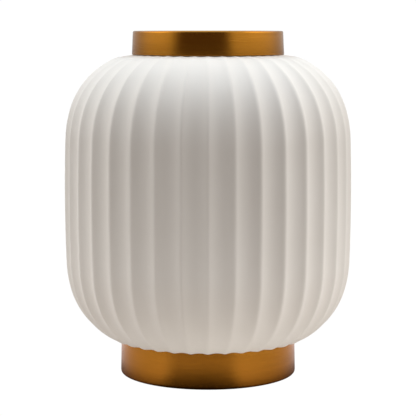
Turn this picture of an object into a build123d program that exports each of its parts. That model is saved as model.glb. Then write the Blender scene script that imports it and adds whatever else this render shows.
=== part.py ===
from build123d import *
import os
from math import cos, degrees, pi, radians, sin, tan

# Fluted porcelain vase with a brass collar and a brass foot. Millimetres, +Z up.
# The origin is the middle of the underside, on the surface that the vase stands on.

# ---- driving dimensions ----
# Porcelain, over the crests of the ribs: the same belly, flank and shoulder arcs go up and down
# from the widest ring. A tilt is the angle, in degrees, of the surface's normal above level.
BODY_R = 120.0
BODY_MID_Z = 147.2  # height of the widest ring
BELLY_ARC_R = 1508.0
BELLY_HALF_H = 50.7  # reach of the belly arc above and below the widest ring
FLANK_ARC_R = 96.0
FLANK_TURN = 14.9
SHOULDER_ARC_R = 67.1
WALL = 6.0  # under a crest

# At each end a small blend arc leads from the shoulder arc to a nearly level shelf.
TOP_ARC_END = 68.0
TOP_BLEND_R = 9.0
TOP_SHELF_SLOPE = 8.0
TOP_SHELF_R = 63.3  # where the ribs end, just outside the collar
LOW_ARC_END = 62.0
LOW_BLEND_R = 12.0
LOW_SHELF_SLOPE = 9.0
LOW_SHELF_R = 73.4  # where the ribs end, just outside the foot ring

# Flutes: coves of one radius all along, with ribs of one width between them.
FLUTES = 36
FLUTE_R = 21.0
RIB_WIDTH = 1.8
FLANK_STEPS = 3  # cross-sections along each flank arc
SHOULDER_STEPS = 6
SHELF_STEPS = 4

# Neck and mouth
NECK_R = 56.5
MOUTH_R = 50.0
NECK_TOP_Z = 282.4
NECK_DEPTH = 20.0  # how far the neck's cylinder reaches down into the shoulder
NECK_ROUND = 1.0

# Underside: flat, with a plain rim inside the foot ring
RIM_R = 66.0
RIM_INNER_R = 58.0
RIM_Z = 26.0
FLOOR_Z = 36.0  # floor of the inside
BOLT_HOLE_R = 5.0

# Brass collar, a band with a lip that turns in over the neck
COLLAR_BOTTOM_R = 63.1
COLLAR_TOP_R = 62.2
COLLAR_BORE_R = 60.0
COLLAR_BOTTOM_Z = 267.6
COLLAR_TOP_Z = 287.0
LIP_R = 51.5
LIP_T = 2.4
COLLAR_ROUND = 1.2

# Rubber liner inside the collar, and rubber seat ring between its lip and the neck
LINER_R = 57.1
LINER_BOTTOM_Z = 270.5
LINER_TOP_Z = 281.0
SEAT_R = 56.0
SEAT_INNER_R = 50.8

# Brass foot ring
FOOT_R = 73.8
FOOT_TOP_R = 73.1
FOOT_BORE_R = 70.4
FOOT_BOTTOM_Z = 0.6
FOOT_GAP = 0.1  # under the porcelain, which rests on the gasket
FOOT_ROUND = 2.4
FLANGE_R = 67.0  # bore of the upper flange, which carries the gasket
FLANGE_T = 3.2
LEDGE_R = 64.0  # bore of the lower ledge, which the base plate pulls up
LEDGE_T = 3.0
GASKET_T = 1.2

# Base plate and felt
FELT_T = 2.5
FELT_R = 69.0
FELT_INNER_R = 16.0
PLATE_T = 2.5
PLATE_R = 69.8
CUP_R = 12.5  # pressed-up cup for the bolt's head
CUP_H = 3.5
PLATE_HOLE_R = 3.3

# Clamp hardware, M6
BOLT_R = 3.0
BOLT_LENGTH = 50.0
BOLT_HEAD_R = 5.25
BOLT_HEAD_H = 3.3
BOLT_HEAD_ROUND = 1.8
BOLT_CHAMFER = 0.6
SOCKET_AF = 4.0  # across flats
SOCKET_DEPTH = 1.9
WASHER_BORE_R = 3.2
BOLT_WASHER_R = 9.0
BOLT_WASHER_T = 1.6
SEAL_R = 13.0
SEAL_T = 2.5
NUT_WASHER_R = 12.5
NUT_WASHER_T = 1.6
LOCK_WASHER_R = 5.9
LOCK_WASHER_T = 1.6
LOCK_WASHER_SLOT = 1.2
LOCK_WASHER_SLANT = 20.0  # degrees
NUT_AF = 10.0
NUT_H = 5.0
NUT_CORNER_R = 5.65  # the hexagon's corners are turned to this
NUT_CHAMFER = 0.5
PAST = 1.0  # how far a cut runs past the faces that it opens

TOP_END = (TOP_ARC_END, TOP_BLEND_R, TOP_SHELF_SLOPE)
LOW_END = (LOW_ARC_END, LOW_BLEND_R, LOW_SHELF_SLOPE)
BELLY_TURN = degrees(BELLY_HALF_H / BELLY_ARC_R)
FLANK_END = BELLY_TURN + FLANK_TURN


# ---- meridian of the porcelain ----
def arc_step(point, radius, start, end):
    """End of an arc from point, whose normal tilts from start to end."""
    a = radians(start)
    b = radians(end)
    return (point[0] + radius * (cos(b) - cos(a)), point[1] + radius * (sin(b) - sin(a)))


def meridian_arcs(end, inset=0.0):
    """Start, middle and end of each arc as (radius, height from the widest ring)."""
    arc_end, blend_r, slope = end
    turns = [0.0, BELLY_TURN, FLANK_END, arc_end, 90.0 - slope]
    radii = [BELLY_ARC_R - inset, FLANK_ARC_R - inset, SHOULDER_ARC_R - inset, blend_r]
    point = (BODY_R - inset, 0.0)
    arcs = []
    for radius, start, stop in zip(radii, turns, turns[1:]):
        middle = arc_step(point, radius, start, (start + stop) / 2)
        arcs.append((point, middle, arc_step(point, radius, start, stop)))
        point = arcs[-1][2]
    return arcs


def crest_point(end, travel):
    """Crest and its tilt. Travel counts degrees of tilt, and past the last arc millimetres inwards."""
    arc_end, blend_r, slope = end
    turns = [0.0, BELLY_TURN, FLANK_END, arc_end, 90.0 - slope]
    radii = [BELLY_ARC_R, FLANK_ARC_R, SHOULDER_ARC_R, blend_r]
    point = (BODY_R, 0.0)
    for radius, start, stop in zip(radii, turns, turns[1:]):
        if travel > start:
            point = arc_step(point, radius, start, min(stop, travel))
    along = max(0.0, travel - turns[-1])
    return (point[0] - along, point[1] + along * tan(radians(slope))), min(travel, turns[-1])


def valley_point(end, travel):
    """Bottom of a flute: the crest moved in along its normal by the depth of the cove."""
    (r, h), tilt = crest_point(end, travel)
    cove_width = 2 * r * sin(pi / FLUTES) - RIB_WIDTH
    depth = cove_width**2 / 8 * (1 / FLUTE_R + cos(radians(tilt)) / r)
    return (r - depth * cos(radians(tilt)), h - depth * sin(radians(tilt)))


def valley_radius(end, h):
    """Radius of the flutes' bottoms at height h, found by halving."""
    low = 0.0
    high = 120.0
    while high - low > 1e-6:
        middle = (low + high) / 2
        if valley_point(end, middle)[1] < h:
            low = middle
        else:
            high = middle
    return valley_point(end, low)[0]


def section_travels(end, shelf_r):
    """Where the cross-sections lie, from the first above the widest ring to the end of the ribs."""
    arc_end, _, slope = end
    level = 90.0 - slope
    flank = [BELLY_TURN + FLANK_TURN * i / FLANK_STEPS for i in range(FLANK_STEPS)]
    shoulder = [FLANK_END + (arc_end - FLANK_END) * i / SHOULDER_STEPS for i in range(SHOULDER_STEPS)]
    shelf_length = crest_point(end, level)[0][0] - shelf_r
    shelf = [level + shelf_length * i / SHELF_STEPS for i in range(1, SHELF_STEPS + 1)]
    return [BELLY_TURN / 2, *flank, *shoulder, arc_end, (arc_end + level) / 2, level, *shelf]


def shelf_z(end, shelf_r, sign):
    """Height of the crests where the ribs end."""
    level = 90.0 - end[2]
    travel = level + crest_point(end, level)[0][0] - shelf_r
    return BODY_MID_Z + sign * crest_point(end, travel)[0][1]


UNDERSIDE_Z = shelf_z(LOW_END, LOW_SHELF_R, -1)


# ---- porcelain body ----
def fluted_section(crest_r, bottom_r, z):
    """Level cross-section: one rib land and one cove for each flute, a rib facing -Y."""
    pitch = 2 * pi / FLUTES
    half_rib = RIB_WIDTH / 2 / crest_r

    def at(r, angle):
        return (r * cos(angle), r * sin(angle), z)

    edges = []
    for i in range(FLUTES):
        rib = i * pitch - pi / 2
        left = rib + half_rib
        right = rib + pitch - half_rib
        edges.append(ThreePointArc(at(crest_r, rib - half_rib), at(crest_r, rib), at(crest_r, left)))
        edges.append(ThreePointArc(at(crest_r, left), at(bottom_r, rib + pitch / 2), at(crest_r, right)))
    return Face(Wire(edges))


def fluted_skin():
    """Solid inside the flutes and ribs, from the foot to the collar."""
    stations = [(BODY_R, valley_radius(TOP_END, 0.0), BODY_MID_Z)]
    for end, shelf_r, sign in ((TOP_END, TOP_SHELF_R, 1), (LOW_END, LOW_SHELF_R, -1)):
        for travel in section_travels(end, shelf_r):
            (r, h), _ = crest_point(end, travel)
            stations.append((r, valley_radius(end, h), BODY_MID_Z + sign * h))
    stations.sort(key=lambda station: station[2])
    return loft([fluted_section(*station) for station in stations])


def hollow():
    """Solid of the inside, up through the mouth."""

    def lift(point, sign):
        return (point[0], BODY_MID_Z + sign * point[1])

    top_arcs = meridian_arcs(TOP_END, WALL)[:3]
    low_arcs = meridian_arcs(LOW_END, WALL)[:3]
    top = lift(top_arcs[-1][2], 1)
    low = lift(low_arcs[-1][2], -1)
    neck_z = top[1] + (top[0] - MOUTH_R) * tan(radians(TOP_SHELF_SLOPE))
    floor_r = low[0] - (low[1] - FLOOR_Z) * tan(radians(LOW_ARC_END))
    above = NECK_TOP_Z + PAST
    with BuildSketch(Plane.XZ) as half:
        with BuildLine():
            add([ThreePointArc(*(lift(p, 1) for p in arc)) for arc in top_arcs])
            add([ThreePointArc(*(lift(p, -1) for p in arc)) for arc in low_arcs])
            Polyline(
                top, (MOUTH_R, neck_z), (MOUTH_R, above), (0, above), (0, FLOOR_Z), (floor_r, FLOOR_Z), low
            )
        make_face()
    return revolve(half.sketch, Axis.Z)


def disc(r, z0, z1):
    return Pos(0, 0, z0) * Cylinder(r, z1 - z0, align=(Align.CENTER, Align.CENTER, Align.MIN))


def ring(r, bore, z0, z1):
    return disc(r, z0, z1) - disc(bore, z0 - PAST, z1 + PAST)


def porcelain_body():
    neck = disc(NECK_R, NECK_TOP_Z - NECK_DEPTH, NECK_TOP_Z)
    rim = ring(RIM_R, RIM_INNER_R, RIM_Z, UNDERSIDE_Z + PAST)
    body = fluted_skin() + neck - hollow() + rim - disc(BOLT_HOLE_R, 0, FLOOR_Z + PAST)
    neck_edges = body.edges().filter_by(GeomType.CIRCLE).group_by(Axis.Z)[-1]
    return fillet(neck_edges, NECK_ROUND)


# ---- brass ----
def turned(points):
    """Solid of revolution from (radius, height) points."""
    with BuildSketch(Plane.XZ) as half:
        with BuildLine():
            Polyline(*points, close=True)
        make_face()
    return revolve(half.sketch, Axis.Z)


def edges_at(solid, r, z):
    """Circular edges of radius r at height z."""
    circles = solid.edges().filter_by(GeomType.CIRCLE)
    return circles.filter_by(lambda e: abs(e.radius - r) < 0.01 and abs(e.center().Z - z) < 0.01)


def neck_collar():
    lip_z = COLLAR_TOP_Z - LIP_T
    band = turned(
        [
            (COLLAR_BOTTOM_R, COLLAR_BOTTOM_Z),
            (COLLAR_TOP_R, COLLAR_TOP_Z),
            (LIP_R, COLLAR_TOP_Z),
            (LIP_R, lip_z),
            (COLLAR_BORE_R, lip_z),
            (COLLAR_BORE_R, COLLAR_BOTTOM_Z),
        ]
    )
    rounded = edges_at(band, COLLAR_TOP_R, COLLAR_TOP_Z) + edges_at(band, LIP_R, COLLAR_TOP_Z)
    return fillet(rounded, COLLAR_ROUND)


def foot_ring():
    """Band with an upper flange under the gasket and a lower ledge over the base plate."""
    foot_top = UNDERSIDE_Z - FOOT_GAP
    flange_top = UNDERSIDE_Z - GASKET_T
    ledge_z = FELT_T + PLATE_T
    band = turned(
        [
            (FOOT_R, FOOT_BOTTOM_Z),
            (FOOT_TOP_R, foot_top),
            (FOOT_BORE_R, foot_top),
            (FOOT_BORE_R, flange_top),
            (FLANGE_R, flange_top),
            (FLANGE_R, flange_top - FLANGE_T),
            (FOOT_BORE_R, flange_top - FLANGE_T),
            (FOOT_BORE_R, ledge_z + LEDGE_T),
            (LEDGE_R, ledge_z + LEDGE_T),
            (LEDGE_R, ledge_z),
            (FOOT_BORE_R, ledge_z),
            (FOOT_BORE_R, FOOT_BOTTOM_Z),
        ]
    )
    return fillet(edges_at(band, FOOT_R, FOOT_BOTTOM_Z), FOOT_ROUND)


# ---- base ----
def base_plate():
    """Steel disc with a cup pressed up in its middle, which hides the bolt's head."""
    top = FELT_T + PLATE_T
    cup = disc(CUP_R + PLATE_T, FELT_T, top + CUP_H) - disc(CUP_R, 0, FELT_T + CUP_H)
    plate = ring(PLATE_R, CUP_R, FELT_T, top) + cup
    return plate - disc(PLATE_HOLE_R, 0, top + CUP_H + PAST)


# ---- clamp hardware, from the head up ----
HEAD_TOP_Z = FELT_T + CUP_H - BOLT_WASHER_T
NUT_WASHER_Z = FLOOR_Z + SEAL_T
LOCK_WASHER_Z = NUT_WASHER_Z + NUT_WASHER_T
NUT_Z = LOCK_WASHER_Z + LOCK_WASHER_T


def clamp_bolt():
    """Button-head socket bolt, its head down."""
    head_z = HEAD_TOP_Z - BOLT_HEAD_H
    head = disc(BOLT_HEAD_R, head_z, HEAD_TOP_Z)
    head = fillet(edges_at(head, BOLT_HEAD_R, head_z), BOLT_HEAD_ROUND)
    hexagon = Pos(0, 0, head_z) * RegularPolygon(SOCKET_AF / 2, 6, major_radius=False)
    shank = disc(BOLT_R, HEAD_TOP_Z, HEAD_TOP_Z + BOLT_LENGTH)
    shank = chamfer(edges_at(shank, BOLT_R, HEAD_TOP_Z + BOLT_LENGTH), BOLT_CHAMFER)
    return head + shank - extrude(hexagon, SOCKET_DEPTH)


def lock_washer():
    """Split spring washer."""
    washer = ring(LOCK_WASHER_R, WASHER_BORE_R, LOCK_WASHER_Z, NUT_Z)
    middle = Pos((LOCK_WASHER_R + WASHER_BORE_R) / 2, 0, NUT_Z)
    slot = Box(LOCK_WASHER_R, LOCK_WASHER_SLOT, 2 * LOCK_WASHER_T + PAST)
    return washer - middle * Rot(0, 0, LOCK_WASHER_SLANT) * slot


def clamp_nut():
    hexagon = Pos(0, 0, NUT_Z) * RegularPolygon(NUT_AF / 2, 6, major_radius=False)
    blank = disc(NUT_CORNER_R, NUT_Z, NUT_Z + NUT_H)
    blank = chamfer(blank.edges().filter_by(GeomType.CIRCLE), NUT_CHAMFER)
    return (extrude(hexagon, NUT_H) & blank) - disc(BOLT_R, NUT_Z - PAST, NUT_Z + NUT_H + PAST)


NODES = {
    "porcelain_body": porcelain_body(),
    "neck_collar": neck_collar(),
    "collar_liner": ring(COLLAR_BORE_R, LINER_R, LINER_BOTTOM_Z, LINER_TOP_Z),
    "collar_seat_ring": ring(SEAT_R, SEAT_INNER_R, NECK_TOP_Z, COLLAR_TOP_Z - LIP_T),
    "foot_ring": foot_ring(),
    "foot_gasket": ring(FOOT_BORE_R, FLANGE_R, UNDERSIDE_Z - GASKET_T, UNDERSIDE_Z),
    "base_plate": base_plate(),
    "base_felt": ring(FELT_R, FELT_INNER_R, 0, FELT_T),
    "clamp_bolt": clamp_bolt(),
    "bolt_washer": ring(BOLT_WASHER_R, WASHER_BORE_R, HEAD_TOP_Z, HEAD_TOP_Z + BOLT_WASHER_T),
    "nut_seal": ring(SEAL_R, WASHER_BORE_R, FLOOR_Z, NUT_WASHER_Z),
    "nut_washer": ring(NUT_WASHER_R, WASHER_BORE_R, NUT_WASHER_Z, LOCK_WASHER_Z),
    "lock_washer": lock_washer(),
    "clamp_nut": clamp_nut(),
}

os.makedirs("parts", exist_ok=True)
for name, shape in NODES.items():
    export_step(shape, f"parts/{name}.step")
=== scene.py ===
import math

import bmesh
import bpy
import numpy as np
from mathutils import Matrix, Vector

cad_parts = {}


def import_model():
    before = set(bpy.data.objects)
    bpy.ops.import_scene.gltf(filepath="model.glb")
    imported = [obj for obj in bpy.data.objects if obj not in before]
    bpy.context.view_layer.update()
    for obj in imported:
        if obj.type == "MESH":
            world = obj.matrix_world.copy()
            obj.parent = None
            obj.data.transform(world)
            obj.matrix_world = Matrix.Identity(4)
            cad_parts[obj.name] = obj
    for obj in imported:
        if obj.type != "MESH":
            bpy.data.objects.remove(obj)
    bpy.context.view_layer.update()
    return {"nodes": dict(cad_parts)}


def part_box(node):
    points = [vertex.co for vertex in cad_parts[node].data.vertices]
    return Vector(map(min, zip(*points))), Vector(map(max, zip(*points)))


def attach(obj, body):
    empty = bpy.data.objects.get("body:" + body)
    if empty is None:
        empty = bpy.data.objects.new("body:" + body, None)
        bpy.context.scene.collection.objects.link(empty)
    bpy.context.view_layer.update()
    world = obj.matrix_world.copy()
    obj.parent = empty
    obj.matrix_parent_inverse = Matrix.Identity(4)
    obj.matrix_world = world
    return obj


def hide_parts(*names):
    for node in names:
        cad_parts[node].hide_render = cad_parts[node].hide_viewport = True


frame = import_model()
MM = 0.001  # the numbers below are millimetres, as in the CAD model, and meshes are metres

# ---- places from the frame ----
BODY_LOW, BODY_HIGH = (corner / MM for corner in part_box("porcelain_body"))
COLLAR_LOW, COLLAR_HIGH = (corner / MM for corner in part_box("neck_collar"))
FOOT_LOW, FOOT_HIGH = (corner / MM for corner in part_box("foot_ring"))
FELT_LOW, FELT_HIGH = (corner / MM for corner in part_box("base_felt"))

# ---- porcelain: meridian over the crests of the ribs ----
# A tilt is the angle, in degrees, of the surface's normal above level.
BODY_R = 120.0
BODY_MID_Z = 147.2
BELLY_ARC_R = 1508.0
BELLY_TURN = math.degrees(50.7 / BELLY_ARC_R)
FLANK_ARC_R = 96.0
FLANK_END = BELLY_TURN + 14.9
SHOULDER_ARC_R = 67.1
TOP_END = (68.0, 9.0, 8.0)  # end of the shoulder arc, radius of the blend arc, slope of the shelf
LOW_END = (62.0, 12.0, 9.0)
ROW_STEP = 8.0  # longest distance between rows of the mesh along the meridian
ROW_SAG = 0.045  # most that the mesh cuts inside an arc of the meridian
SHELF_STEP = 2.0
CORNER_STEPS = 3  # of each rounded corner of the shell

FLUTES = 36
FLUTE_R = 21.0
RIB_WIDTH = 1.8
RIB_ROUNDING = 0.18
FLUTE_COLUMNS = 16  # columns of the mesh for each flute
COLUMN_POWER = 1.77  # crowds the columns towards the rib
FLUTE_FADE = (57.5, 62.0)  # the flutes fade out over these radii, under the collar
WAVE = 0.12  # unevenness of the cast wall
WAVE_Z = (31.0, 23.0, 17.0)  # heights over which the unevenness turns by a radian

NECK_R = 56.5
MOUTH_R = 50.0
WALL = 6.0
FLOOR_Z = (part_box("nut_seal")[0] / MM).z  # of the inside, which the seal lies on
BOLT_HOLE_R = 5.0
RIM_R = 66.0
RIM_INNER_R = 58.0
GROOVE_R = (70.2, 73.6)  # the foot ring's edge stands in this groove
GROOVE_DEPTH = 1.6
GROOVE_MARGIN = 0.1  # between the flutes' end and the groove
NECK_MARGIN = 1.0  # between the shelf's end and the neck
NECK_STEP = 0.6  # rise over that margin
GLAZE_MARGIN = 1.0  # of the rim and the bolt hole that stays unglazed


def arc_step(point, radius, start, end):
    """End of an arc from point, whose normal tilts from start to end."""
    a = math.radians(start)
    b = math.radians(end)
    across = radius * (math.cos(b) - math.cos(a))
    up = radius * (math.sin(b) - math.sin(a))
    return (point[0] + across, point[1] + up)


def half_meridian(end, inset=0.0, arcs=4):
    """(radius, height over the widest ring, tilt) along the arcs, from the widest ring outwards."""
    arc_end, blend_r, slope = end
    turns = [0.0, BELLY_TURN, FLANK_END, arc_end, 90.0 - slope]
    radii = [BELLY_ARC_R - inset, FLANK_ARC_R - inset, SHOULDER_ARC_R - inset, blend_r]
    point = (BODY_R - inset, 0.0)
    rows = [(*point, 0.0)]
    for radius, start, stop in list(zip(radii, turns, turns[1:]))[:arcs]:
        step = min(ROW_STEP, math.sqrt(8 * radius * ROW_SAG))
        steps = math.ceil(radius * math.radians(stop - start) / step)
        for i in range(1, steps + 1):
            tilt = start + (stop - start) * i / steps
            rows.append((*arc_step(point, radius, start, tilt), tilt))
        point = rows[-1][:2]
    return rows


def shelf(row, slope, shelf_r):
    """Rows from the last arc row inwards to shelf_r."""
    r, h, tilt = row
    steps = math.ceil((r - shelf_r) / SHELF_STEP)
    inward = [(r - shelf_r) * i / steps for i in range(1, steps + 1)]
    return [(r - along, h + along * math.tan(math.radians(slope)), tilt) for along in inward]


def rounded(points, steps=5):
    """Outline of (radius, height, rounding) points with its corners rounded, as a closed loop."""
    loop = []
    for i, (r, z, rounding) in enumerate(points):
        here = Vector((r, z))
        before = Vector(points[i - 1][:2]) - here
        after = Vector(points[(i + 1) % len(points)][:2]) - here
        if not rounding:
            loop.append((r, z))
            continue
        half_angle = before.angle(after) / 2
        reach = rounding / math.tan(half_angle)
        start = here + before.normalized() * reach
        finish = here + after.normalized() * reach
        for k in range(steps + 1):
            t = k / steps
            bend = (1 - t) ** 2 * start + 2 * t * (1 - t) * here + t**2 * finish
            loop.append((bend.x, bend.y))
    return loop


def mesh_piece(name, vertices, faces, materials, face_materials=None, sharp_angle=40.0):
    """Smooth-shaded piece with creases marked where its faces meet at more than sharp_angle."""
    mesh = bpy.data.meshes.new(name)
    mesh.from_pydata((np.asarray(vertices) * MM).tolist(), [], faces)
    for material in materials:
        mesh.materials.append(material)
    if face_materials is not None:
        mesh.polygons.foreach_set("material_index", face_materials)
    build = bmesh.new()
    build.from_mesh(mesh)
    bmesh.ops.recalc_face_normals(build, faces=build.faces)
    for face in build.faces:
        face.smooth = True
    for edge in build.edges:
        edge.smooth = edge.calc_face_angle(0.0) < math.radians(sharp_angle)
    build.to_mesh(mesh)
    build.free()
    piece = bpy.data.objects.new(name, mesh)
    bpy.context.scene.collection.objects.link(piece)
    return piece


def grid_faces(rows, columns):
    """Quads of a grid that wraps round its columns and its rows."""
    faces = []
    for i in range(rows):
        low = i * columns
        high = (i + 1) % rows * columns
        for j in range(columns):
            k = (j + 1) % columns
            faces.append((low + j, low + k, high + k, high + j))
    return faces


def lathe(name, loop, materials, columns):
    """Solid of revolution of a closed loop of (radius, height) points."""
    angles = np.arange(columns) * 2 * math.pi / columns - math.pi / 2
    r = np.array([p[0] for p in loop])[:, None]
    z = np.array([p[1] for p in loop])[:, None]
    points = np.stack([r * np.cos(angles), r * np.sin(angles), z + 0 * angles], axis=-1)
    return mesh_piece(name, points.reshape(-1, 3), grid_faces(len(loop), columns), materials)


# ---- materials ----
class Nodes:
    """Short way to build a node material around one Principled shader."""

    def __init__(self, name):
        self.material = bpy.data.materials.new(name)
        self.material.use_nodes = True
        self.tree = self.material.node_tree
        self.shader = self.tree.nodes["Principled BSDF"]
        self.place = self.add("ShaderNodeTexCoord").outputs["Object"]

    def add(self, kind, inputs=None, **settings):
        node = self.tree.nodes.new(kind)
        for key, value in settings.items():
            setattr(node, key, value)
        for key, value in (inputs or {}).items():
            self.put(node.inputs[key], value)
        return node

    def put(self, socket, value):
        if isinstance(value, bpy.types.NodeSocket):
            self.tree.links.new(value, socket)
        else:
            socket.default_value = value

    def set(self, **values):
        for key, value in values.items():
            self.put(self.shader.inputs[key.replace("_", " ")], value)

    def noise(self, scale, detail=3.0, roughness=0.5, stretch=(1, 1, 1)):
        mapping = self.add("ShaderNodeMapping", {"Vector": self.place, "Scale": stretch})
        inputs = {"Vector": mapping.outputs[0], "Scale": scale}
        inputs.update({"Detail": detail, "Roughness": roughness})
        return self.add("ShaderNodeTexNoise", inputs).outputs[0]

    def ramp(self, value, *stops):
        """Colour ramp of (position, colour) stops."""
        node = self.add("ShaderNodeValToRGB", {0: value})
        elements = node.color_ramp.elements
        while len(elements) < len(stops):
            elements.new(0.5)
        for element, (position, colour) in zip(elements, stops):
            element.position = position
            element.color = (*colour, 1.0)
        return node.outputs[0]

    def range(self, value, low, high, start=0.0, end=1.0):
        inputs = {0: value, 1: start, 2: end, 3: low, 4: high}
        return self.add("ShaderNodeMapRange", inputs).outputs[0]

    def bump(self, height, strength, distance, below=None):
        inputs = {"Height": height, "Strength": strength, "Distance": distance}
        if below is not None:
            inputs["Normal"] = below
        return self.add("ShaderNodeBump", inputs).outputs[0]


def porcelain_material():
    """Unglazed white porcelain: faint clouding, slow waves, marks of the scraper and a fine tooth."""
    m = Nodes("bisque_porcelain")
    cloud = m.noise(14.0, 4.0)
    colour = m.ramp(cloud, (0.3, (0.815, 0.773, 0.722)), (0.7, (0.845, 0.807, 0.760)))
    tooth = m.noise(1400.0, 2.0)
    waves = m.noise(45.0, 2.0)
    scraped = m.noise(260.0, 2.0, 0.5, (1.0, 1.0, 0.03))
    wavy = m.bump(scraped, 0.10, 0.0004, m.bump(waves, 0.12, 0.0012))
    m.set(
        Base_Color=colour,
        Roughness=m.range(m.noise(60.0), 0.52, 0.64),
        Specular_IOR_Level=0.35,
        Normal=m.bump(tooth, 0.10, 0.00012, wavy),
    )
    return m.material


def glaze_material():
    """Clear glaze over the porcelain, inside the vase."""
    m = Nodes("inside_glaze")
    colour = m.ramp(m.noise(18.0, 3.0), (0.35, (0.79, 0.78, 0.74)), (0.7, (0.84, 0.83, 0.80)))
    m.set(
        Base_Color=colour,
        Roughness=m.range(m.noise(50.0), 0.10, 0.18),
        Coat_Weight=0.6,
        Coat_Roughness=0.05,
        Normal=m.bump(m.noise(35.0, 2.0), 0.15, 0.0008),
    )
    return m.material


def brass_material():
    """Satin brass, brushed round the band, with a lacquered gold tone."""
    m = Nodes("brushed_brass")
    fine = m.noise(30.0, 4.0, 0.7, (0.5, 0.5, 70.0))
    broad = m.noise(30.0, 2.0, 0.5, (0.5, 0.5, 14.0))
    colour = m.ramp(broad, (0.3, (0.385, 0.155, 0.0160)), (0.7, (0.42, 0.172, 0.0187)))
    tangent = m.add("ShaderNodeTangent", direction_type="RADIAL", axis="Z").outputs[0]
    m.set(
        Base_Color=colour,
        Metallic=1.0,
        Roughness=m.range(fine, 0.14, 0.34),
        Anisotropic=0.7,
        Anisotropic_Rotation=0.25,
        Tangent=tangent,
        Normal=m.bump(fine, 0.25, 0.0002),
    )
    return m.material


def rubber_material():
    """Black rubber with a matt, slightly uneven skin."""
    m = Nodes("soft_black_rubber")
    colour = m.ramp(m.noise(300.0), (0.3, (0.018, 0.018, 0.019)), (0.7, (0.030, 0.030, 0.031)))
    m.set(
        Base_Color=colour,
        Roughness=m.range(m.noise(200.0), 0.6, 0.8),
        Normal=m.bump(m.noise(900.0), 0.3, 0.0002),
    )
    return m.material


def zinc_material():
    """Zinc-plated steel with a cloudy plating."""
    m = Nodes("zinc_plated_steel")
    colour = m.ramp(m.noise(120.0, 4.0), (0.3, (0.50, 0.51, 0.52)), (0.7, (0.62, 0.62, 0.61)))
    m.set(
        Base_Color=colour,
        Metallic=1.0,
        Roughness=m.range(m.noise(90.0, 4.0), 0.28, 0.5),
        Normal=m.bump(m.noise(1200.0), 0.08, 0.0001),
    )
    return m.material


def felt_material():
    """Dark grey pressed wool."""
    m = Nodes("wool_felt")
    colour = m.ramp(m.noise(500.0, 5.0), (0.3, (0.012, 0.012, 0.013)), (0.7, (0.040, 0.040, 0.042)))
    m.set(
        Base_Color=colour,
        Roughness=0.95,
        Sheen_Weight=0.4,
        Normal=m.bump(m.noise(1500.0, 4.0), 0.6, 0.0005),
    )
    return m.material


PORCELAIN = porcelain_material()
GLAZE = glaze_material()
BRASS = brass_material()
RUBBER = rubber_material()
ZINC = zinc_material()
FELT = felt_material()


# ---- porcelain body ----
def porcelain_rows():
    """Closed loop of rows (radius, height, tilt, flute weight, glazed), from the foot, over and back."""
    low = half_meridian(LOW_END)
    low += shelf(low[-1], LOW_END[2], GROOVE_R[1] + GROOVE_MARGIN)
    top = half_meridian(TOP_END)
    top += shelf(top[-1], TOP_END[2], NECK_R + NECK_MARGIN)
    rows = [(r, BODY_MID_Z - h, -tilt, 1.0, 0) for r, h, tilt in reversed(low)]
    for r, h, tilt in top[1:]:
        fade = min(1.0, max(0.0, (r - FLUTE_FADE[0]) / (FLUTE_FADE[1] - FLUTE_FADE[0])))
        rows.append((r, BODY_MID_Z + h, tilt, fade * fade * (3 - 2 * fade), 0))

    inner_top = half_meridian(TOP_END, WALL, 3)
    inner_low = half_meridian(LOW_END, WALL, 3)
    top_r, top_h, _ = inner_top[-1]
    low_r, low_h, _ = inner_low[-1]
    neck_z = BODY_MID_Z + top_h + (top_r - MOUTH_R) * math.tan(math.radians(TOP_END[2]))
    floor_r = low_r - (BODY_MID_Z - low_h - FLOOR_Z) * math.tan(math.radians(LOW_END[0]))
    neck = rounded([
        (NECK_R, rows[-1][1] + NECK_STEP, 0.5),
        (NECK_R, BODY_HIGH.z, 1.0),
        (MOUTH_R, BODY_HIGH.z, 1.0),
        (MOUTH_R, neck_z, 3.0),
        (top_r, BODY_MID_Z + top_h, 0.0),
    ], CORNER_STEPS)[:-1]
    inner = [(r, BODY_MID_Z + h) for r, h, _ in reversed(inner_top)]
    inner += [(r, BODY_MID_Z - h) for r, h, _ in inner_low[1:]]
    under_z = rows[0][1]
    underside = rounded([
        (floor_r, FLOOR_Z, 2.0),
        (BOLT_HOLE_R, FLOOR_Z, 0.5),
        (BOLT_HOLE_R, under_z, 0.5),
        (RIM_INNER_R, under_z, 0.5),
        (RIM_INNER_R, BODY_LOW.z, 1.0),
        (RIM_R, BODY_LOW.z, 1.0),
        (RIM_R, under_z, 0.5),
        (GROOVE_R[0], under_z, 0.3),
        (GROOVE_R[0], under_z + GROOVE_DEPTH, 0.3),
        (GROOVE_R[1], under_z + GROOVE_DEPTH, 0.3),
    ], CORNER_STEPS)
    inside_z = under_z + GROOVE_DEPTH + GROOVE_MARGIN
    rows += [(r, z, 0.0, 0.0, int(r < NECK_R - GLAZE_MARGIN)) for r, z in neck]
    rows += [(r, z, 0.0, 0.0, 1) for r, z in inner]
    rows += [(r, z, 0.0, 0.0, int(z > inside_z and r > BOLT_HOLE_R + GLAZE_MARGIN)) for r, z in underside]
    return rows


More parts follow.
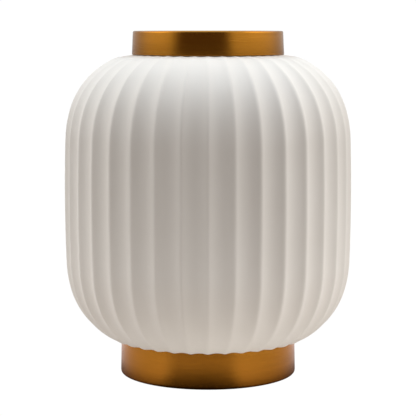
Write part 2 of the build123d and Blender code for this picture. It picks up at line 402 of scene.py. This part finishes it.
def porcelain_body():
    rows = porcelain_rows()
    half = np.linspace(-1, 1, FLUTE_COLUMNS + 1)[:-1]
    across = 0.5 * np.sign(half) * np.abs(half) ** COLUMN_POWER  # of a pitch, from the rib's middle
    pitch = 2 * math.pi / FLUTES
    angles = (np.arange(FLUTES)[:, None] + across).ravel() * pitch - math.pi / 2
    across = np.tile(across, FLUTES)

    r, z, tilt, weight, glazed = (np.array(column)[:, None] for column in zip(*rows))
    tilt = np.radians(tilt)
    cove = 2 * r * math.sin(pitch / 2) - RIB_WIDTH
    bend = 1 / FLUTE_R + np.cos(tilt) / r
    from_valley = (0.5 - np.abs(across)) * pitch * r
    depth = bend * (cove**2 / 8 - from_valley**2 / 2)
    depth = (depth + np.sqrt(depth**2 + RIB_ROUNDING**2)) / 2
    depth = depth * weight
    first, second, third = (z / reach for reach in WAVE_Z)
    waves = np.sin(3 * angles + first) + np.sin(5 * angles - second) * np.sin(third) - 2
    depth = depth - WAVE / 4 * waves * weight
    radius = r - depth * np.cos(tilt)
    height = z - depth * np.sin(tilt)
    points = np.stack([radius * np.cos(angles), radius * np.sin(angles), height], axis=-1)
    face_materials = np.repeat(glazed.ravel(), len(angles))
    piece = mesh_piece(
        "porcelain_shell",
        points.reshape(-1, 3),
        grid_faces(len(rows), len(angles)),
        [PORCELAIN, GLAZE],
        face_materials,
        sharp_angle=50.0,
    )
    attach(piece, "vase")
    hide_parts("porcelain_body")


# ---- brass ----
COLLAR_BORE_R = 60.0
LIP_R = 51.5
LIP_T = 2.4
COLLAR_TOP_R = 62.2
COLLAR_ROUND = 1.5  # of the top edge
LIP_ROUND = 1.1
EDGE = 0.35  # rounding of a deburred edge
BAND_COLUMNS = 256


def neck_collar():
    """Turned band with a lip over the neck."""
    low = COLLAR_LOW.z
    high = COLLAR_HIGH.z
    loop = rounded([
        (COLLAR_HIGH.x, low, EDGE),
        (COLLAR_TOP_R, high, COLLAR_ROUND),
        (LIP_R, high, LIP_ROUND),
        (LIP_R, high - LIP_T, EDGE),
        (COLLAR_BORE_R, high - LIP_T, EDGE),
        (COLLAR_BORE_R, low, EDGE),
    ])
    piece = lathe("collar_band", loop, [BRASS], BAND_COLUMNS)
    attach(piece, "collar")
    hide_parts("neck_collar")


FOOT_TOP_R = 73.1
FOOT_BORE_R = 70.4
FLANGE_R = 67.0
FLANGE_T = 3.2
LEDGE_R = 64.0
LEDGE_T = 3.0
FOOT_ROUND = 2.4
PLATE_T = 2.5  # of the base plate between the felt and the ledge
GROOVE_PLAY = 0.3  # between the band's top edge and the groove's bottom


def foot_ring():
    """Band whose top edge stands in the porcelain's groove, with a flange and a ledge inside."""
    under_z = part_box("foot_gasket")[1].z / MM
    flange_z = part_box("foot_gasket")[0].z / MM
    ledge_z = FELT_HIGH.z + PLATE_T
    top_z = under_z + GROOVE_DEPTH - GROOVE_PLAY
    loop = rounded([
        (FOOT_HIGH.x, FOOT_LOW.z, FOOT_ROUND),
        (FOOT_TOP_R, top_z, EDGE),
        (FOOT_BORE_R, top_z, EDGE),
        (FOOT_BORE_R, flange_z, 0.0),
        (FLANGE_R, flange_z, EDGE),
        (FLANGE_R, flange_z - FLANGE_T, EDGE),
        (FOOT_BORE_R, flange_z - FLANGE_T, 0.0),
        (FOOT_BORE_R, ledge_z + LEDGE_T, 0.0),
        (LEDGE_R, ledge_z + LEDGE_T, EDGE),
        (LEDGE_R, ledge_z, EDGE),
        (FOOT_BORE_R, ledge_z, 0.0),
        (FOOT_BORE_R, FOOT_LOW.z, EDGE),
    ])
    piece = lathe("foot_band", loop, [BRASS], BAND_COLUMNS)
    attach(piece, "vase")
    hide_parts("foot_ring")


FELT_INNER_R = 16.0
FELT_ROUND = (0.9, 0.4)  # of the pressed lower edges and the upper ones
FELT_RAGGED = 0.0015  # of its radius, how far the cut edge wanders
FELT_COLUMNS = 288
FELT_SEED = 11


def base_felt():
    """Felt ring with pressed, slightly ragged edges."""
    low = FELT_LOW.z
    high = FELT_HIGH.z
    pressed, cut = FELT_ROUND
    loop = rounded([
        (FELT_HIGH.x, low, pressed),
        (FELT_HIGH.x, high, cut),
        (FELT_INNER_R, high, cut),
        (FELT_INNER_R, low, pressed),
    ])
    piece = lathe("felt_ring", loop, [FELT], FELT_COLUMNS)
    wander = np.random.default_rng(FELT_SEED).uniform(1.0 - FELT_RAGGED, 1.0, FELT_COLUMNS)
    for i, vertex in enumerate(piece.data.vertices):
        vertex.co.x *= wander[i % FELT_COLUMNS]
        vertex.co.y *= wander[i % FELT_COLUMNS]
    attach(piece, "vase")
    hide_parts("base_felt")


def carried_over():
    """CAD nodes whose shape is right keep it and get a finished material."""
    finishes = {
        "collar_liner": RUBBER,
        "collar_seat_ring": RUBBER,
        "foot_gasket": RUBBER,
        "nut_seal": RUBBER,
        "base_plate": ZINC,
        "clamp_bolt": ZINC,
        "bolt_washer": ZINC,
        "nut_washer": ZINC,
        "lock_washer": ZINC,
        "clamp_nut": ZINC,
    }
    for node, material in finishes.items():
        for slot in frame["nodes"][node].material_slots:
            slot.material = material


# ---- studio ----
CAMERA_DISTANCE = 1.279  # from the vase's axis
CAMERA_HEIGHT = 0.292
CAMERA_PITCH = 6.81  # degrees down
CAMERA_LENS = 132.75


def camera():
    data = bpy.data.cameras.new("camera")
    data.lens = CAMERA_LENS
    data.sensor_width = 36.0
    data.clip_end = 60.0
    rig = bpy.data.objects.new("camera", data)
    rig.location = (0.0, -CAMERA_DISTANCE, CAMERA_HEIGHT)
    rig.rotation_euler = (math.radians(90.0 - CAMERA_PITCH), 0.0, 0.0)
    bpy.context.scene.collection.objects.link(rig)
    bpy.context.scene.camera = rig


SIDE_TINT = (1.0, 0.985, 0.955)
FRONT_TINT = (1.0, 0.62, 0.42)
FLOOR_TINT = (1.0, 0.95, 0.89)
FOOT_TINT = (1.0, 0.88, 0.88)  # of the floor that the foot mirrors
WHITE = 1.02  # of the floor and the background, to the camera
# The tables hold (azimuth, brightness). Azimuth is 0 at the camera's side and grows to the right.
FRONT_SHADE = (  # round the studio, which is dark behind the camera
    (-180.0, 0.55),
    (-125.0, 0.78),
    (-98.0, 1.13),
    (-64.0, 1.09),
    (-40.0, 0.03),
    (0.0, 0.02),
    (24.0, 0.03),
    (44.0, 1.20),
    (100.0, 1.26),
    (130.0, 0.85),
    (180.0, 0.55),
)
FRONT_GLOW = (  # a dim room in front
    (-180.0, 0.0),
    (-60.0, 0.0),
    (-38.0, 0.10),
    (24.0, 0.10),
    (44.0, 0.0),
    (180.0, 0.0),
)
HIGH_SIDES = (  # extra light of the raised softboxes at both sides
    (-180.0, 0.0),
    (-150.0, 0.0),
    (-128.0, 1.8),
    (-84.0, 2.2),
    (-64.0, 0.0),
    (60.0, 0.0),
    (78.0, 2.0),
    (128.0, 1.6),
    (150.0, 0.0),
)
HIGH_SIDES_EDGE = (0.22, 0.50)  # sine of the elevations over which they begin
OVERHEAD = (1.37, 1.65, 1.91)  # light from above, slightly cool
OVERHEAD_EDGE = (0.78, 0.92)  # sine of the elevations over which it takes over from the sides
NEAR_FLOOR_SHADE = (  # painted shade on the floor that the foot mirrors, darkest in front
    (-180.0, 0.42),
    (-70.0, 0.66),
    (-46.0, 0.72),
    (-27.0, 0.17),
    (0.0, 0.11),
    (16.0, 0.17),
    (33.0, 0.70),
    (70.0, 0.60),
    (180.0, 0.42),
)
FLOOR_BOUNCE = (  # what the floor sends up to the matt porcelain
    (-180.0, 0.55),
    (-90.0, 0.60),
    (-40.0, 0.74),
    (0.0, 0.93),
    (40.0, 0.88),
    (90.0, 0.72),
    (180.0, 0.55),
)
FLOOR_GAP = 0.0002  # under the felt, so that the two surfaces don't coincide
BOUNCE_REACH = (0.24, 0.52)  # metres from the axis over which the bounce fades
FAR_BOUNCE = (0.075, 0.048, 0.032)  # beyond that reach
CONTACT_SHADE = (0.070, 0.115)  # metres from the axis over which the painted shadow round the foot clears
# colour multiplied into the floor round the foot: a painted contact shadow
CONTACT_SHADOW_TINT = (0.25, 0.22, 0.20)
FLOOR_GLOW = 0.20  # of the floor's own light, so that it isn't black under the foot
FLOOR_R = 12.0
FLOOR_SHADE_RINGS = (((0.125, 0.22), 0.80), ((0.30, 0.60), 0.10))  # (metres from the axis, albedo beyond): painted light and shade on the floor that the foot mirrors, bright round the foot and dark far out


def azimuth(tree, vector):
    """Azimuth of a direction, as 0 to 1 with 0.5 at the camera's side, and its height."""
    split = tree.nodes.new("ShaderNodeSeparateXYZ")
    tree.links.new(vector, split.inputs[0])
    back = tree.nodes.new("ShaderNodeMath")
    back.operation = "MULTIPLY"
    back.inputs[1].default_value = -1.0
    tree.links.new(split.outputs[1], back.inputs[0])
    angle = tree.nodes.new("ShaderNodeMath")
    angle.operation = "ARCTAN2"
    tree.links.new(split.outputs[0], angle.inputs[0])
    tree.links.new(back.outputs[0], angle.inputs[1])
    part = tree.nodes.new("ShaderNodeMapRange")
    part.inputs[1].default_value = -math.pi
    part.inputs[2].default_value = math.pi
    tree.links.new(angle.outputs[0], part.inputs[0])
    return part.outputs[0], split.outputs[2]


def tinted_ramp(tree, value, stops, tint=SIDE_TINT):
    """Light along stops of (azimuth in degrees, level)."""
    node = tree.nodes.new("ShaderNodeValToRGB")
    node.color_ramp.interpolation = "EASE"
    elements = node.color_ramp.elements
    while len(elements) < len(stops):
        elements.new(0.5)
    for element, (degrees, level) in zip(elements, stops):
        element.position = (degrees + 180.0) / 360.0
        element.color = (*(level * part for part in tint), 1.0)
    tree.links.new(value, node.inputs[0])
    return node.outputs[0]


def above(tree, value, edge):
    """0 below the edge's first number, 1 above its second, and smooth between."""
    node = tree.nodes.new("ShaderNodeMapRange")
    node.interpolation_type = "SMOOTHSTEP"
    node.inputs[1].default_value, node.inputs[2].default_value = edge
    tree.links.new(value, node.inputs[0])
    return node.outputs[0]


def mixed(tree, factor, first, second, blend_type="MIX"):
    """Colour mix. factor is a number or a socket, and second is a colour or a socket."""
    node = tree.nodes.new("ShaderNodeMix")
    node.data_type = "RGBA"
    node.blend_type = blend_type
    if isinstance(factor, float):
        node.inputs["Factor"].default_value = factor
    else:
        tree.links.new(factor, node.inputs["Factor"])
    tree.links.new(first, node.inputs[6])
    if isinstance(second, tuple):
        node.inputs[7].default_value = second
    else:
        tree.links.new(second, node.inputs[7])
    return node.outputs[2]


def shown_to(tree, ray, others, shader):
    """A shader for one kind of ray, with another for all others."""
    path = tree.nodes.new("ShaderNodeLightPath")
    mix = tree.nodes.new("ShaderNodeMixShader")
    tree.links.new(path.outputs[ray], mix.inputs[0])
    tree.links.new(others, mix.inputs[1])
    tree.links.new(shader, mix.inputs[2])
    return mix.outputs[0]


def floor_material():
    """White to the camera. What the foot mirrors and what lights the porcelain are separate. What the
    foot mirrors is painted shade and light: dark in front, darker round the foot, bright in a ring and
    dark far out.
    """
    made = bpy.data.materials.new("white_floor")
    made.use_nodes = True
    tree = made.node_tree
    nodes = tree.nodes
    links = tree.links
    place = nodes.new("ShaderNodeTexCoord").outputs["Object"]
    turn, _ = azimuth(tree, place)
    distance = nodes.new("ShaderNodeVectorMath")
    distance.operation = "LENGTH"
    links.new(place, distance.inputs[0])
    # painted shade on the floor for the foot's reflection, darkest in front, by azimuth
    tone = tinted_ramp(tree, turn, NEAR_FLOOR_SHADE, FOOT_TINT)
    clear = above(tree, distance.outputs["Value"], CONTACT_SHADE)
    # painted contact shadow: the floor darkens towards the foot
    tone = mixed(tree, clear, mixed(tree, 1.0, tone, (*CONTACT_SHADOW_TINT, 1.0), "MULTIPLY"), tone)
    # painted light and shade by distance from the axis: bright round the foot, dark far out
    for reach, level in FLOOR_SHADE_RINGS:
        level_colour = (*(level * part for part in FOOT_TINT), 1.0)
        tone = mixed(tree, above(tree, distance.outputs["Value"], reach), tone, level_colour)
    shader = nodes["Principled BSDF"]
    shader.inputs["Roughness"].default_value = 0.95
    shader.inputs["Specular IOR Level"].default_value = 0.0
    links.new(tone, shader.inputs["Base Color"])
    links.new(tone, shader.inputs["Emission Color"])
    shader.inputs["Emission Strength"].default_value = FLOOR_GLOW
    fade = above(tree, distance.outputs["Value"], BOUNCE_REACH)
    near_bounce = tinted_ramp(tree, turn, FLOOR_BOUNCE, FLOOR_TINT)
    bounce = mixed(tree, fade, near_bounce, (*FAR_BOUNCE, 1.0))
    glow = nodes.new("ShaderNodeEmission")
    links.new(bounce, glow.inputs[0])
    white = nodes.new("ShaderNodeEmission")
    white.inputs[1].default_value = WHITE
    lit = shown_to(tree, "Is Diffuse Ray", shader.outputs[0], glow.outputs[0])
    surface = shown_to(tree, "Is Camera Ray", lit, white.outputs[0])
    links.new(surface, nodes["Material Output"].inputs[0])
    return made


def floor():
    mesh = bpy.data.meshes.new("floor")
    build = bmesh.new()
    bmesh.ops.create_circle(build, cap_ends=True, segments=96, radius=FLOOR_R)
    build.to_mesh(mesh)
    build.free()
    mesh.materials.append(floor_material())
    plane = bpy.data.objects.new("floor", mesh)
    plane.location.z = -FLOOR_GAP
    bpy.context.scene.collection.objects.link(plane)


def world():
    """White to the camera. Soft white sides, a soft ceiling and a dim front light the object."""
    made = bpy.data.worlds.new("studio")
    bpy.context.scene.world = made
    made.use_nodes = True
    tree = made.node_tree
    nodes = tree.nodes
    links = tree.links
    way = nodes.new("ShaderNodeTexCoord").outputs["Generated"]
    turn, height = azimuth(tree, way)
    glow = tinted_ramp(tree, turn, FRONT_GLOW, FRONT_TINT)
    sides = mixed(tree, 1.0, tinted_ramp(tree, turn, FRONT_SHADE), glow, "ADD")
    softboxes = tinted_ramp(tree, turn, HIGH_SIDES)
    raised = mixed(tree, above(tree, height, HIGH_SIDES_EDGE), sides, softboxes, "ADD")
    light = mixed(tree, above(tree, height, OVERHEAD_EDGE), raised, (*OVERHEAD, 1.0))
    fill = nodes["Background"]
    links.new(light, fill.inputs[0])
    fill.inputs[1].default_value = 1.0
    seen = nodes.new("ShaderNodeBackground")
    seen.inputs[0].default_value = (1.0, 1.0, 1.0, 1.0)
    seen.inputs[1].default_value = WHITE
    surface = shown_to(tree, "Is Camera Ray", fill.outputs[0], seen.outputs[0])
    links.new(surface, nodes["World Output"].inputs[0])


def studio():
    world()
    floor()
    bpy.context.scene.view_settings.view_transform = "Standard"


camera()
porcelain_body()
neck_collar()
foot_ring()
base_felt()
carried_over()
studio()
